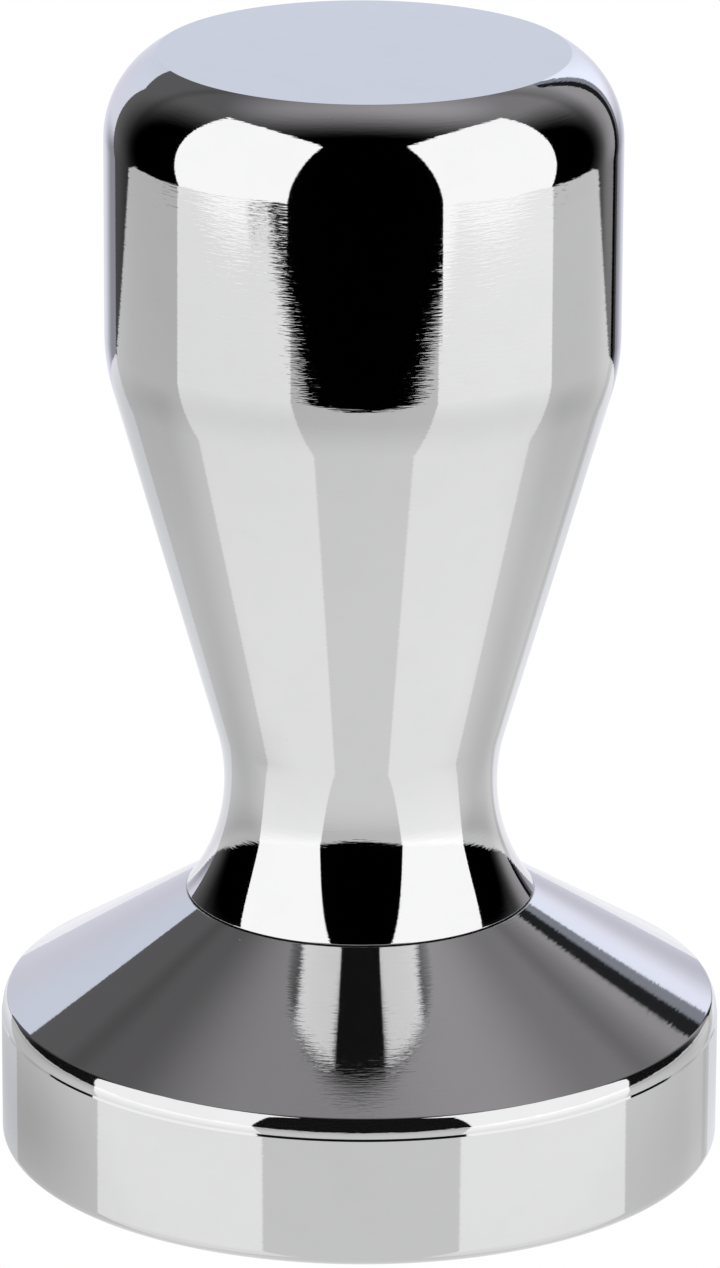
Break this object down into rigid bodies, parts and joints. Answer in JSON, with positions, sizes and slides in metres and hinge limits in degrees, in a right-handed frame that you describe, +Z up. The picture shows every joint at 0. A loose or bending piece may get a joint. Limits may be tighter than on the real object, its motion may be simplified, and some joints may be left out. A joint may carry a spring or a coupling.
{
  "type": "espresso tamper",
  "caption": "Polished steel espresso tamper with a flat round piston face and a waisted handle that screws on with a threaded stud.",
  "frame": {"origin": "centre of the flat tamping face, which is what the tamper stands on", "axes": "+Z up along the turning axis, from the tamping face to the palm face"},
  "size_m": [0.058, 0.058, 0.0906],
  "materials": {
    "polished_base": "polished",
    "polished_handle": "polished",
    "stud_steel": "satin",
    "seal_rubber": "matte"
  },
  "bodies": {
    "base": {"base": "polished_base"},
    "ring": {"o_ring": "seal_rubber"},
    "handle": {"handle": "polished_handle", "threaded_stud": "stud_steel"}
  },
  "joints": [
    {"name": "handle_lift", "type": "slide", "parent": "base", "child": "ring", "axis": [0, 0, 1], "range_m": [0, 0.01125]},
    {"name": "handle_turn", "type": "hinge", "parent": "ring", "child": "handle", "pos_m": [0, 0, 0], "axis": [0, 0, 1], "range_deg": [0, 3240]}
  ],
  "couplings": [
    {"joint": "handle_turn", "follows": "handle_lift", "rad_per_m": 5026.5}
  ]
}
